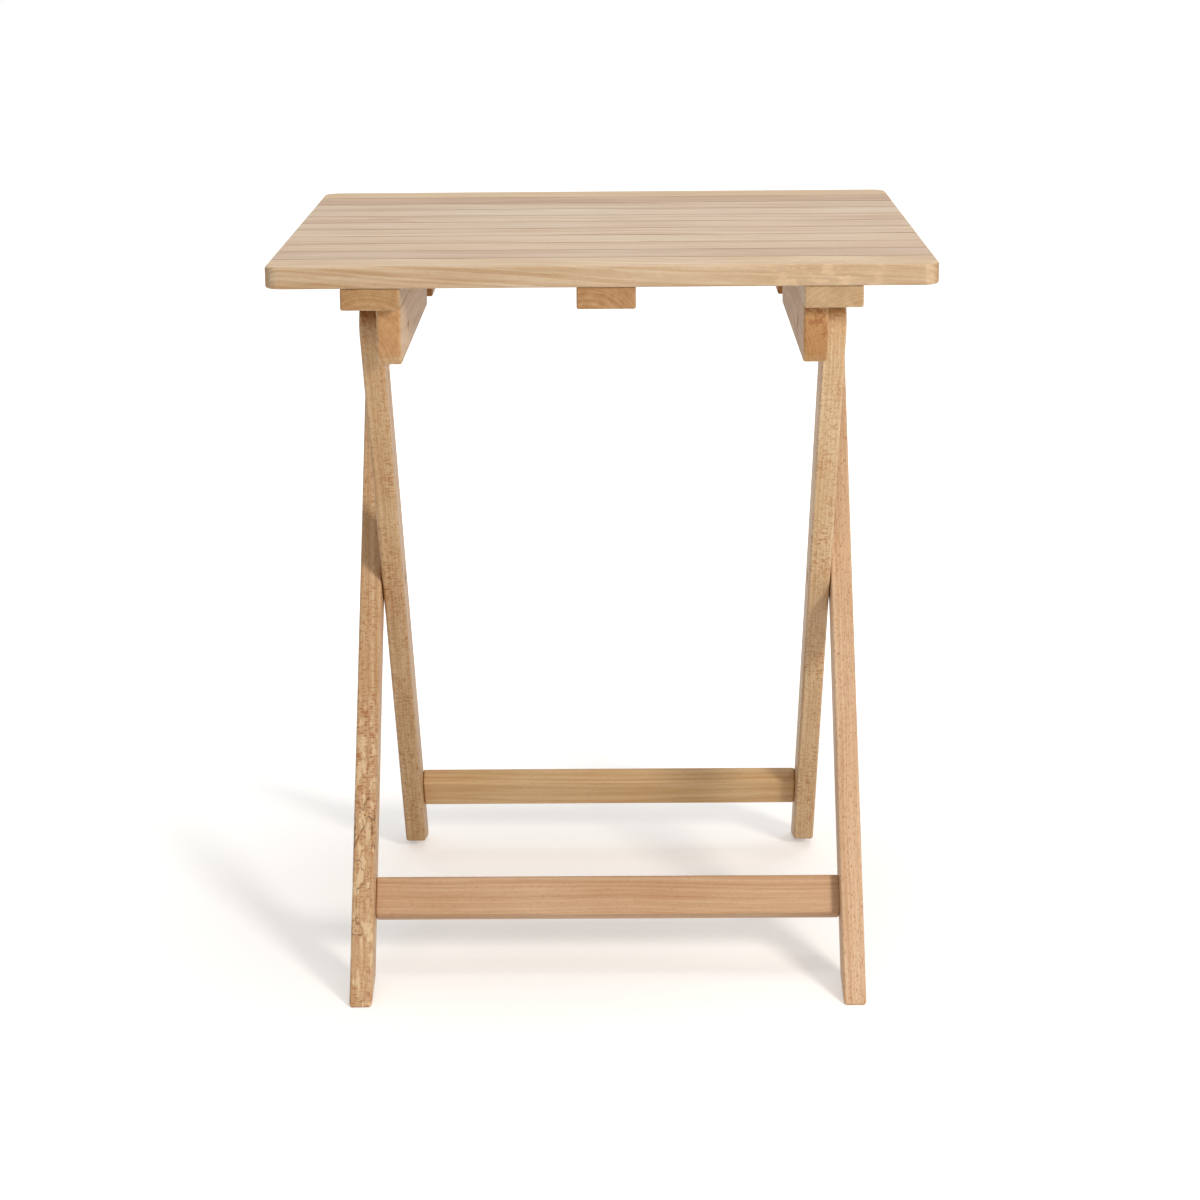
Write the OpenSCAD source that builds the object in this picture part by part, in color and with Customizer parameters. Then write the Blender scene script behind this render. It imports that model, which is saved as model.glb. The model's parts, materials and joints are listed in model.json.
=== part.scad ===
// Folding picnic table in beech: a slatted square top on two crossed leg frames.
// Frame: +X right, +Y back, +Z up, origin on the floor under the middle of the top.

/* [Table top] */
// Width of the top, left to right
top_w = 600; // [520:10:900]
// Depth of the top, front to back
top_d = 600; // [500:10:760]
// Height of the top's upper face above the floor
table_h = 720; // [600:5:730]
// Thickness of a slat
slat_t = 20; // [16:0.5:26]
// Open joint between two slats
slat_gap = 0.8; // [0:0.1:6]
// Plan radius of the four corners of the top
corner_r = 15; // [4:1:30]

/* [Battens and rails] */
// Width of a batten
batten_w = 53; // [48:1:80]
// Thickness of a batten
batten_t = 20; // [16:0.5:26]
// How far a batten's ends stop short of the edge of the top
batten_inset = 4; // [0:1:30]
// Sideways offset of the middle batten from the centre line
middle_batten_x = 4; // [-40:1:40]
// Thickness of a rail and of a stop block
rail_t = 22; // [20:0.5:30]
// Depth of a rail below the battens
rail_h = 54; // [50:1:75]
// Depth of a stop block below the battens
block_h = 58; // [40:1:75]
// How far a rail's front end is set back from the front edge
rail_inset = 28; // [20:1:70]
// Chamfer on a rail's lower front corner
rail_chamfer = 9; // [4:1:20]
// How far a rail's inner face is set out from the batten's inner edge
rail_reveal = 1; // [0:0.5:6]
// Free space between a rail's rear end and the crossbar
crossbar_gap = 88; // [60:1:110]
// How far a stop block's rear end is set in from the rear edge
block_inset = 15; // [5:1:25]

/* [Leg frames] */
// Width over the two outer legs
frame_w = 496; // [420:2:500]
// Thickness of a leg, left to right
leg_t = 21.5; // [19:0.5:28]
// Depth of a leg, across its length
leg_w = 42; // [36:1:52]
// Space between an outer leg and an inner leg
leg_gap = 1; // [0.8:0.1:3]
// Space between an inner leg and a rail
rail_gap = 1; // [0.8:0.1:3]
// How far the front feet stand in from the front edge of the top
front_toe_inset = 55; // [20:1:90]
// How far the rear feet stand in from the rear edge of the top
rear_toe_inset = 8; // [0:1:60]
// Height of the cross pivot above the floor
cross_pivot_h = 360; // [320:1:400]
// Distance of the upper pivot below the battens
top_pivot_drop = 30; // [28:1:36]
// Length of the flat at the toe of each foot
toe_flat = 12; // [5:1:20]
// Angle by which the rest of the sole rises from the floor
sole_relief = 12; // [0:1:16]

/* [Stretchers and crossbar] */
// Height of a stretcher and of the crossbar, along the legs
bar_h = 39; // [36:1:48]
// Thickness of a stretcher
bar_t = 20; // [16:0.5:22]
// Thickness of the crossbar
crossbar_t = 18; // [16:0.5:22]
// Distance of the front stretcher's middle from the toe, along the leg
front_stretcher_s = 116; // [90:1:150]
// How far the front stretcher lies behind the front faces of its legs
front_stretcher_d = 20; // [4:1:20]
// Distance of the rear stretcher's middle from the toe, along the leg
rear_stretcher_s = 98; // [90:1:150]
// How far the rear stretcher lies in front of the rear faces of its legs
rear_stretcher_d = 2; // [1:1:20]

/* [Fasteners] */
// Diameter of a pivot bolt
bolt_d = 6; // [5:0.5:6]
// Outer diameter of a sleeve nut
sleeve_d = 8; // [8:0.5:10]
// Diameter of a sunk head
head_d = 11; // [10.5:0.5:14]
// Thickness of a sunk head
head_t = 3; // [2:0.5:4]
// Outer diameter of a spacer washer
washer_d = 18; // [14:1:24]
// Diameter of a dowel
dowel_d = 8; // [6:1:10]
// Length of a dowel
dowel_l = 34; // [30:1:40]
// How deep a dowel goes into a leg
dowel_in_leg = 14; // [10:1:15]
// Diameter of a slat screw
slat_screw_d = 4; // [3:0.5:5]
// How deep a slat screw goes into a slat
slat_screw_bite = 14; // [8:1:14]
// Diameter of a rail screw
rail_screw_d = 5; // [4:0.5:6]
// Length of a rail screw
rail_screw_l = 60; // [45:1:62]

/* [Hidden] */
SLATS = 11;

BEECH = "#D2AC82";
BEECH_PALE = "#D4C1A8";
BEECH_END = "#BE966A";
STEEL = "#8E8A82";
EPS = 0.01;
ROUND = 48;          // facets of a bore, a pin or a rounded end
SMALL = 24;          // facets of a screw

// Clearances, each on the radius or on one side
run = 0.05;          // a sleeve or bolt that turns in its bore
fit = 0.05;          // a dowel or screw in its hole
sink = 0.5;          // around and under a sunk head
rest_gap = 0.4;      // between the top and the outer frame it rests on
washer_gap = 0.15;   // on each side of a spacer washer

// Slopes and levels
toe_front = -top_d / 2 + front_toe_inset;
toe_rear = top_d / 2 - rear_toe_inset;
toe_span = toe_rear - toe_front;
toe_reach = norm([toe_span, 2 * cross_pivot_h]);
lean = acos(leg_w / toe_reach) - atan2(2 * cross_pivot_h, toe_span);
z_slat = table_h - slat_t;
z_batten = z_slat - batten_t;
z_rail = z_batten - rail_h;
z_block = z_batten - block_h;
z_top_pivot = z_batten - top_pivot_drop;

// Distance along a leg of a point at height z and depth d in that leg
function along(z, d) = (z + d * sin(lean)) / cos(lean);
s_cross = along(cross_pivot_h, leg_w / 2);
s_top_pivot = along(z_top_pivot, leg_w / 2);
z_outer_end = z_batten - rest_gap;
s_crossbar_top = along(z_outer_end, 0);

// Where things stand from left to right, on the right side
outer_x = frame_w / 2 - leg_t;
inner_x = outer_x - leg_gap - leg_t;
rail_x = inner_x - rail_gap - rail_t;
side_batten_x = rail_x - rail_reveal + batten_w / 2;
rail_mid_x = rail_x + rail_t / 2;
slat_screw_x = (inner_x + side_batten_x + batten_w / 2) / 2;

// Where things stand from front to back
function outer_y(d, s) = toe_front + s * sin(lean) + d * cos(lean);
function inner_y(d, s) = toe_rear - s * sin(lean) - d * cos(lean);
y_cross = outer_y(leg_w / 2, s_cross);
y_top_pivot = inner_y(leg_w / 2, s_top_pivot);
rail_y0 = -top_d / 2 + rail_inset;
rail_y1 = outer_y(0, s_crossbar_top - bar_h) - crossbar_gap;
block_foot = outer_y(crossbar_t, along(z_block, crossbar_t)) + rest_gap / cos(lean);
block_head = block_foot + block_h * tan(lean);
block_y1 = top_d / 2 - block_inset;
slat_pitch = (top_d + slat_gap) / SLATS;
slat_w = slat_pitch - slat_gap;
function slat_y(i) = -top_d / 2 + (i - 0.5) * slat_pitch - slat_gap / 2;

// Fastener proportions
head_sink = head_t + sink;
screw_head_ratio = 1.9;
dowel_spread = bar_h / 2 - dowel_d - 1;
rail_screw_inset = 25;
block_screw_inset = 12;
sole_rise = (leg_w - toe_flat * cos(lean)) * tan(lean + sole_relief) + toe_flat * sin(lean);

// ---- placing and drawing helpers ----

// Draws children once on each side
module both_sides() {
    children();
    mirror([1, 0, 0]) children();
}

// Draws children of the right side on the left side
module on_left() {
    mirror([1, 0, 0]) children();
}

// Local frame of the outer legs: y is the depth in the leg, z the distance along it from the toe
module in_outer_frame() {
    translate([0, toe_front, 0]) rotate([-lean, 0, 0]) children();
}

// Local frame of the inner legs, which lean the other way
module in_inner_frame() {
    translate([0, toe_rear, 0]) mirror([0, 1, 0]) rotate([-lean, 0, 0]) children();
}

// Extrudes an outline drawn in (y, z) along +X, from x for a length t
module slab(x, t) {
    translate([x, 0, 0]) rotate([90, 0, 90]) linear_extrude(height = t) children();
}

// Round bar along +X
module rod(x, l, r) {
    translate([x, 0, 0]) rotate([0, 90, 0]) cylinder(h = l, r = r, $fn = ROUND);
}

// Countersunk wood screw that points up, with its head's face at z = 0
module screw(d, l, gap = 0) {
    head_r = d * screw_head_ratio / 2;
    cone = head_r - d / 2;
    tip = d;
    translate([0, 0, -EPS * (gap > 0 ? 1 : 0)])
        cylinder(h = cone + EPS, r1 = head_r + gap, r2 = d / 2 + gap, $fn = SMALL);
    cylinder(h = l - tip + gap, r = d / 2 + gap, $fn = SMALL);
    translate([0, 0, l - tip + gap]) cylinder(h = tip, r1 = d / 2 + gap, r2 = d / 8, $fn = SMALL);
}

// ---- table top ----

// Plan outline of the whole top, with rounded corners
module top_plan() {
    difference() {
        square([top_w, top_d], center = true);
        for (sx = [-1, 1], sy = [-1, 1])
            translate([sx * top_w / 2, sy * top_d / 2]) corner_waste(sx, sy);
    }
}

// What the rounding takes off one corner of the plan
module corner_waste(sx, sy) {
    difference() {
        translate([-sx * (corner_r - 1) / 2, -sy * (corner_r - 1) / 2])
            square(corner_r + 1, center = true);
        translate([-sx * corner_r, -sy * corner_r]) circle(r = corner_r, $fn = ROUND);
    }
}

// Where the slat screws stand from left to right
function screw_xs() = [-slat_screw_x, middle_batten_x, slat_screw_x];

// Screws of slat i, or their holes when gap is given
module slat_screws_of(i, gap = 0) {
    for (x = screw_xs())
        translate([x, slat_y(i), z_batten]) screw(slat_screw_d, batten_t + slat_screw_bite, gap);
}

module slat(i) {
    difference() {
        translate([0, 0, z_slat]) linear_extrude(height = slat_t) intersection() {
            top_plan();
            translate([0, slat_y(i)]) square([top_w, slat_w], center = true);
        }
        slat_screws_of(i, fit);
    }
}

module batten(x) {
    difference() {
        translate([x - batten_w / 2, -top_d / 2 + batten_inset, z_batten])
            cube([batten_w, top_d - 2 * batten_inset, batten_t]);
        for (i = [1:SLATS]) slat_screws_of(i, fit);
    }
}

module side_batten() {
    difference() {
        batten(side_batten_x);
        rail_screw_row(fit);
        block_screw_row(fit);
    }
}

// Screws that go down through the batten into the rail
module rail_screw_row(gap = 0) {
    for (y = [rail_y0 + rail_screw_inset, (rail_y0 + rail_y1) / 2, rail_y1 - rail_screw_inset])
        translate([rail_mid_x, y, z_slat]) mirror([0, 0, 1]) screw(rail_screw_d, rail_screw_l, gap);
}

// Screws that go down through the batten into the stop block
module block_screw_row(gap = 0) {
    for (y = [block_head + block_screw_inset, block_y1 - block_screw_inset])
        translate([rail_mid_x, y, z_slat]) mirror([0, 0, 1]) screw(rail_screw_d, rail_screw_l, gap);
}

module rail() {
    difference() {
        slab(rail_x, rail_t) polygon([
            [rail_y0, z_rail + rail_chamfer], [rail_y0 + rail_chamfer, z_rail],
            [rail_y1, z_rail], [rail_y1, z_batten], [rail_y0, z_batten]
        ]);
        translate([0, y_top_pivot, z_top_pivot]) {
            rod(rail_x - EPS, rail_t + 2 * EPS, bolt_d / 2 + fit);
            rod(rail_x - EPS, head_sink + EPS, head_d / 2 + sink);
        }
        rail_screw_row(fit);
    }
}

module stop_block() {
    difference() {
        slab(rail_x, rail_t) polygon([
            [block_foot, z_block], [block_y1, z_block], [block_y1, z_batten], [block_head, z_batten]
        ]);
        block_screw_row(fit);
    }
}

// ---- leg frames ----

// Outline of a foot and the leg above it up to s, in (depth, length)
module leg_outline(s_heel_end, s_toe_end) {
    polygon([
        [0, 0], [toe_flat * cos(lean), toe_flat * sin(lean)], [leg_w, sole_rise],
        [leg_w, s_heel_end], [0, s_toe_end]
    ]);
}

// Two dowels one above the other, centred on the end face of a bar, or their holes
module dowel_pair(x, gap = 0, end_gap = 0) {
    for (side = [-1, 1])
        translate([0, 0, side * dowel_spread])
            rod(x - end_gap, dowel_l + 2 * end_gap, dowel_d / 2 + gap);
}

// Dowels at both ends of a bar whose end faces are at +-x_end
module bar_dowels(x_end, d, s, gap = 0, end_gap = 0) {
    translate([0, d, s]) both_sides() dowel_pair(x_end + dowel_in_leg - dowel_l, gap, end_gap);
}

// A bar of thickness t between two legs, with its outer face at depth d and its middle at s
module bar(x_end, t, d, s) {
    difference() {
        translate([-x_end, d, s - bar_h / 2]) cube([2 * x_end, t, bar_h]);
        bar_dowels(x_end, d + t / 2, s, fit, 1);
    }
}

crossbar_s = s_crossbar_top - bar_h / 2;

module inner_leg() {
    difference() {
        in_inner_frame() difference() {
            slab(inner_x, leg_t) union() {
                leg_outline(s_top_pivot, s_top_pivot);
                translate([leg_w / 2, s_top_pivot]) circle(r = leg_w / 2, $fn = ROUND);
            }
            bar_dowels(inner_x, rear_stretcher_d + bar_t / 2, rear_stretcher_s, fit, 1);
        }
        translate([0, y_cross, cross_pivot_h]) {
            rod(inner_x - EPS, leg_t + 2 * EPS, sleeve_d / 2 + run);
            rod(inner_x - EPS, head_sink + EPS, head_d / 2 + sink);
        }
        translate([0, y_top_pivot, z_top_pivot]) {
            rod(inner_x - EPS, leg_t + 2 * EPS, sleeve_d / 2 + run);
            rod(inner_x + leg_t - head_sink, head_sink + EPS, head_d / 2 + sink);
        }
    }
}

module outer_leg() {
    difference() {
        in_outer_frame() difference() {
            slab(outer_x, leg_t) leg_outline(along(z_outer_end, leg_w), along(z_outer_end, 0));
            bar_dowels(outer_x, front_stretcher_d + bar_t / 2, front_stretcher_s, fit, 1);
            bar_dowels(outer_x, crossbar_t / 2, crossbar_s, fit, 1);
        }
        translate([0, y_cross, cross_pivot_h]) {
            rod(outer_x - EPS, leg_t + 2 * EPS, sleeve_d / 2 + fit);
            rod(outer_x + leg_t - head_sink, head_sink + EPS, head_d / 2 + sink);
        }
    }
}

// ---- pivots ----

// Bolt with its sunk head at x and its shank towards +X
module pivot_bolt(x, l) {
    rod(x + sink, head_t, head_d / 2);
    rod(x + sink, l, bolt_d / 2);
}

// Sleeve nut whose sunk cap ends at x_cap and whose sleeve reaches back to x_tip
module sleeve_nut(x_tip, x_cap) {
    difference() {
        union() {
            rod(x_cap - sink - head_t, head_t, head_d / 2);
            rod(x_tip, x_cap - sink - x_tip - EPS, sleeve_d / 2);
        }
        rod(x_tip - EPS, x_cap - x_tip - head_t, bolt_d / 2 + fit);
    }
}

module spacer(x, space, hole_r) {
    difference() {
        rod(x + washer_gap, space - 2 * washer_gap, washer_d / 2);
        rod(x, space, hole_r);
    }
}

cap_wall = 2;
cross_bolt_l = 2 * leg_t + leg_gap - 2 * sink - head_t - cap_wall;
top_bolt_l = rail_t + rail_gap + leg_t - 2 * sink - head_t - cap_wall;

module at_cross_pivot() {
    translate([0, y_cross, cross_pivot_h]) both_sides() children();
}

module at_top_pivot() {
    translate([0, y_top_pivot, z_top_pivot]) both_sides() children();
}

// ---- nodes ----

for (i = [1:SLATS])
    color(BEECH_PALE) slat(i);

module batten_left() { color(BEECH_END) on_left() side_batten(); }
module batten_middle() { color(BEECH_END) batten(middle_batten_x); }
module batten_right() { color(BEECH_END) side_batten(); }
module rail_left() { color(BEECH) on_left() rail(); }
module rail_right() { color(BEECH) rail(); }
module stop_block_left() { color(BEECH) on_left() stop_block(); }
module stop_block_right() { color(BEECH) stop_block(); }
module slat_screws() { color(STEEL) for (i = [1:SLATS]) slat_screws_of(i); }
module rail_screws() { color(STEEL) both_sides() rail_screw_row(); }
module block_screws() { color(STEEL) both_sides() block_screw_row(); }
module top_pivot_bolts() { color(STEEL) at_top_pivot() pivot_bolt(rail_x, top_bolt_l); }
module top_pivot_nuts() { color(STEEL) at_top_pivot() sleeve_nut(inner_x + sink, inner_x + leg_t); }
module top_pivot_washers() { color(STEEL) at_top_pivot() spacer(rail_x + rail_t, rail_gap, bolt_d / 2 + fit); }
module inner_leg_left() { color(BEECH) on_left() inner_leg(); }
module inner_leg_right() { color(BEECH) inner_leg(); }
module rear_stretcher() {
    color(BEECH) in_inner_frame() bar(inner_x, bar_t, rear_stretcher_d, rear_stretcher_s);
}
module rear_stretcher_dowels() {
    color(BEECH_END) in_inner_frame() bar_dowels(inner_x, rear_stretcher_d + bar_t / 2, rear_stretcher_s);
}
module outer_leg_left() { color(BEECH) on_left() outer_leg(); }
module outer_leg_right() { color(BEECH) outer_leg(); }
module front_stretcher() {
    color(BEECH) in_outer_frame() bar(outer_x, bar_t, front_stretcher_d, front_stretcher_s);
}
module front_stretcher_dowels() {
    color(BEECH_END) in_outer_frame() bar_dowels(outer_x, front_stretcher_d + bar_t / 2, front_stretcher_s);
}
module crossbar() { color(BEECH) in_outer_frame() bar(outer_x, crossbar_t, 0, crossbar_s); }
module crossbar_dowels() { color(BEECH_END) in_outer_frame() bar_dowels(outer_x, crossbar_t / 2, crossbar_s); }
module cross_pivot_bolts() { color(STEEL) at_cross_pivot() pivot_bolt(inner_x, cross_bolt_l); }
module cross_pivot_nuts() {
    color(STEEL) at_cross_pivot() sleeve_nut(inner_x + head_sink + sink, outer_x + leg_t);
}
module cross_pivot_washers() {
    color(STEEL) at_cross_pivot() spacer(inner_x + leg_t, leg_gap, sleeve_d / 2 + fit);
}

batten_left();
batten_middle();
batten_right();
rail_left();
rail_right();
stop_block_left();
stop_block_right();
slat_screws();
rail_screws();
block_screws();
top_pivot_bolts();
top_pivot_nuts();
top_pivot_washers();
inner_leg_left();
inner_leg_right();
rear_stretcher();
rear_stretcher_dowels();
outer_leg_left();
outer_leg_right();
front_stretcher();
front_stretcher_dowels();
crossbar();
crossbar_dowels();
cross_pivot_bolts();
cross_pivot_nuts();
cross_pivot_washers();
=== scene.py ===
"""Looks of a folding picnic table in beech: its boards, fasteners, finishes, light and camera.

The straight slats of the top and the screws under it come from Geometry Nodes. Every other board
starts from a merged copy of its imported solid. All boards but the dowels get eased arrises, and all
of them carry their own wood coordinates (along, across and through the grain), tint and figure.
One beech finish reads them, so growth rings, flecks and end grain run through each board as in
solid timber.
"""

from __future__ import annotations

import json
import logging
import math
import random
from collections.abc import Callable
from dataclasses import dataclass, field
from enum import Enum

import bmesh
import bpy
import numpy as np
from mathutils import Matrix, Vector

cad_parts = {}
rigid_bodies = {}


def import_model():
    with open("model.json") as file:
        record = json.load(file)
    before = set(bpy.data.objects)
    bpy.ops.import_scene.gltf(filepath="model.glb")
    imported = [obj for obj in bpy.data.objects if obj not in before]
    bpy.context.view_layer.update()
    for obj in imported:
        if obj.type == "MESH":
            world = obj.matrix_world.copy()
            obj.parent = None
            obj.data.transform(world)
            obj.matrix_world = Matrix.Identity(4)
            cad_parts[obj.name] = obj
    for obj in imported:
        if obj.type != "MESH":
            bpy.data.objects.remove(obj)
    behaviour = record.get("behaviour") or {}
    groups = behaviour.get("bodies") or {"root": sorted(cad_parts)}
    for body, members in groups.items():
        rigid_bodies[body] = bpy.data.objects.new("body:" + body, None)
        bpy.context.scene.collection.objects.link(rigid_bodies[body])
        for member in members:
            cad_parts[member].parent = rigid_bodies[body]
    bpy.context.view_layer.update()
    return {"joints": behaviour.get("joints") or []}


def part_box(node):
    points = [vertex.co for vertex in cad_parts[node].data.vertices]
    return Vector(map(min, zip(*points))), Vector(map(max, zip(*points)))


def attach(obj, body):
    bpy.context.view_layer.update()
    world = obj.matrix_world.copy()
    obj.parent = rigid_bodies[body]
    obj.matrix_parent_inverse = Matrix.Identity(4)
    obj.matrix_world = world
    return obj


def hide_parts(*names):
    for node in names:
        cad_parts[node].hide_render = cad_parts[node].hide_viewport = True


LOG = logging.getLogger("picnic_table")
MM = 0.001
FLAT = 0.4              # degrees below which two faces count as one flat face
SHARP = 25.0            # degrees above which an edge is an arris
RIM = 16 * MM           # a ring of sharp edges smaller than this is a hole's rim
END_CLEAR = 12 * MM     # faces aren't parted nearer than this to a board's end


# ---------------------------------------------------------------- small helpers


def linear(hex_colour: str) -> tuple[float, float, float, float]:
    """Turns an sRGB hex colour into linear RGBA.

    Args:
        hex_colour: Six hex digits, with or without a leading '#'.

    Returns:
        The colour in linear light, with alpha 1.
    """
    digits = hex_colour.lstrip("#")
    channels = [int(digits[i : i + 2], 16) / 255 for i in (0, 2, 4)]
    return (*[c / 12.92 if c <= 0.04045 else ((c + 0.055) / 1.055) ** 2.4 for c in channels], 1.0)


def add_node(
    tree: bpy.types.NodeTree,
    kind: str,
    settings: dict[str, object] | None = None,
    inputs: dict[str | int, object] | None = None,
) -> bpy.types.Node:
    """Adds a node, sets its properties, and sets or links its inputs.

    Args:
        tree: The node tree to add to.
        kind: The node's bl_idname.
        settings: Properties of the node, such as its operation.
        inputs: Values or output sockets by input name or index.

    Returns:
        The new node.
    """
    node = tree.nodes.new(kind)
    for key, value in (settings or {}).items():
        setattr(node, key, value)
    for key, value in (inputs or {}).items():
        if isinstance(value, bpy.types.NodeSocket):
            tree.links.new(value, node.inputs[key])
        else:
            node.inputs[key].default_value = value
    return node


def math_node(tree: bpy.types.NodeTree, operation: str, *values: object) -> bpy.types.NodeSocket:
    """Adds one step of arithmetic.

    Args:
        tree: The node tree to add to.
        operation: The Math node's operation.
        values: Numbers or sockets, in the order of the node's inputs.

    Returns:
        The result's socket.
    """
    node = add_node(tree, "ShaderNodeMath", {"operation": operation}, dict(enumerate(values)))
    return node.outputs[0]


def new_piece(name: str, mesh: bpy.types.Mesh) -> bpy.types.Object:
    """Links a mesh to the scene as a piece at the origin.

    Args:
        name: The piece's name.
        mesh: Its mesh, in metres in the table's own frame.

    Returns:
        The new object.
    """
    piece = bpy.data.objects.new(name, mesh)
    bpy.context.scene.collection.objects.link(piece)
    return piece


def dress(piece: bpy.types.Object, material: bpy.types.Material) -> None:
    """Gives a piece one material."""
    piece.data.materials.clear()
    piece.data.materials.append(material)


def apply_modifiers(piece: bpy.types.Object) -> None:
    """Turns the evaluated shape of a piece into its plain mesh and removes its modifiers.

    Args:
        piece: The piece to finish.
    """
    graph = bpy.context.evaluated_depsgraph_get()
    finished = bpy.data.meshes.new_from_object(piece.evaluated_get(graph), depsgraph=graph)
    piece.modifiers.clear()
    piece.data = finished


def sharp_rings(shape: bmesh.types.BMesh) -> list[tuple[set[bmesh.types.BMEdge], np.ndarray]]:
    """Finds the groups of sharp edges that hang together.

    Args:
        shape: The mesh to search.

    Returns:
        Each group's edges, and the places of their ends.
    """
    sharp = {
        e
        for e in shape.edges
        if len(e.link_faces) == 2 and math.degrees(e.calc_face_angle(0.0)) > SHARP
    }
    groups = []
    for first in shape.edges:
        if first not in sharp:
            continue
        ring, todo = set(), [first]
        while todo:
            edge = todo.pop()
            if edge in sharp:
                sharp.discard(edge)
                ring.add(edge)
                todo.extend(n for v in edge.verts for n in v.link_edges if n in sharp)
        groups.append((ring, np.array([list(v.co) for e in ring for v in e.verts])))
    return groups


def is_hole(spots: np.ndarray) -> bool:
    """Says whether a ring of sharp edges is small enough to be the rim of a hole."""
    return bool(np.linalg.norm(spots.max(0) - spots.min(0)) < RIM)


def cut_stations(shape: bmesh.types.BMesh, along: Vector) -> list[float]:
    """Chooses where to part a board's faces across its holes, away from its ends.

    Args:
        shape: The board's mesh.
        along: The board's length.

    Returns:
        Distances along the board.
    """
    rings = [(spots @ np.array(along), is_hole(spots)) for _, spots in sharp_rings(shape)]
    outline = np.concatenate([reach for reach, hole in rings if not hole])
    stations: list[float] = []
    for reach in [reach for reach, hole in rings if hole]:
        middle = float(reach.min() + reach.max()) / 2
        taken = any(abs(middle - station) < 0.5 * MM for station in stations)
        if not taken and np.abs(outline - middle).min() > END_CLEAR:
            stations.append(middle)
    return sorted(stations)


def merged_copy(node: str, along: Vector | None = None) -> bpy.types.Mesh:
    """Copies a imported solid's mesh with its loose triangles joined and its flat faces made whole.

    Args:
        node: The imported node's name.
        along: The board's length. If given, faces are parted across it at each hole, so that no
            face has a hole inside it.

    Returns:
        The new mesh.
    """
    shape = bmesh.new()
    shape.from_mesh(bpy.data.objects[node].data)
    bmesh.ops.remove_doubles(shape, verts=shape.verts, dist=1e-6)
    if along is not None:
        for station in cut_stations(shape, along):
            parts = [*shape.verts, *shape.edges, *shape.faces]
            cut = bmesh.ops.bisect_plane(
                shape, geom=parts, dist=1e-6, plane_co=along * station, plane_no=along
            )
            for edge in cut["geom_cut"]:
                if isinstance(edge, bmesh.types.BMEdge):
                    edge.seam = True
    bmesh.ops.dissolve_limit(
        shape,
        angle_limit=math.radians(FLAT),
        verts=shape.verts,
        edges=shape.edges,
        delimit={"SEAM"},
    )
    mesh = bpy.data.meshes.new(node + "_wood")
    shape.to_mesh(mesh)
    shape.free()
    return mesh


# ---------------------------------------------------------------- wood


class Figure(Enum):
    """How lively a board's wood looks: flecks, cross ripples, pale rot patches, streaks."""

    PLAIN = (0.30, 0.0, 0.0, 0.25)
    FLECKED = (1.0, 0.1, 0.0, 0.5)
    RIPPLED = (0.9, 0.85, 0.0, 0.5)
    SPALTED = (0.7, 1.0, 1.0, 0.6)
    STREAKED = (0.3, 0.0, 0.0, 1.0)
    PALE_STREAKS = (0.2, 0.0, 0.5, 0.9)


class Run(Enum):
    """Which way a board's grain runs."""

    LEFT_RIGHT = "left_right"
    FRONT_BACK = "front_back"
    UP_INNER = "up_inner"
    UP_OUTER = "up_outer"


@dataclass(frozen=True)
class Board:
    """One board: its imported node, its grain, and how its wood looks."""

    node: str
    body: str
    run: Run
    tint: str
    seed: int
    figure: Figure = Figure.PLAIN
    arris: float = 2.0 * MM
    heart: tuple[float, float] = (0.02, 0.09)   # the tree's heart, across and through the board
    runout: float = 0.0                         # slope of the fibres to the board's length
    slot: str = "legs"
    knot: tuple[float, float] = (9.0, 9.0)      # a small knot, along and across from the middle
    rot: tuple[float, float] = (0.0, 9.0)       # pale rot: its middle and half its length


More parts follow.
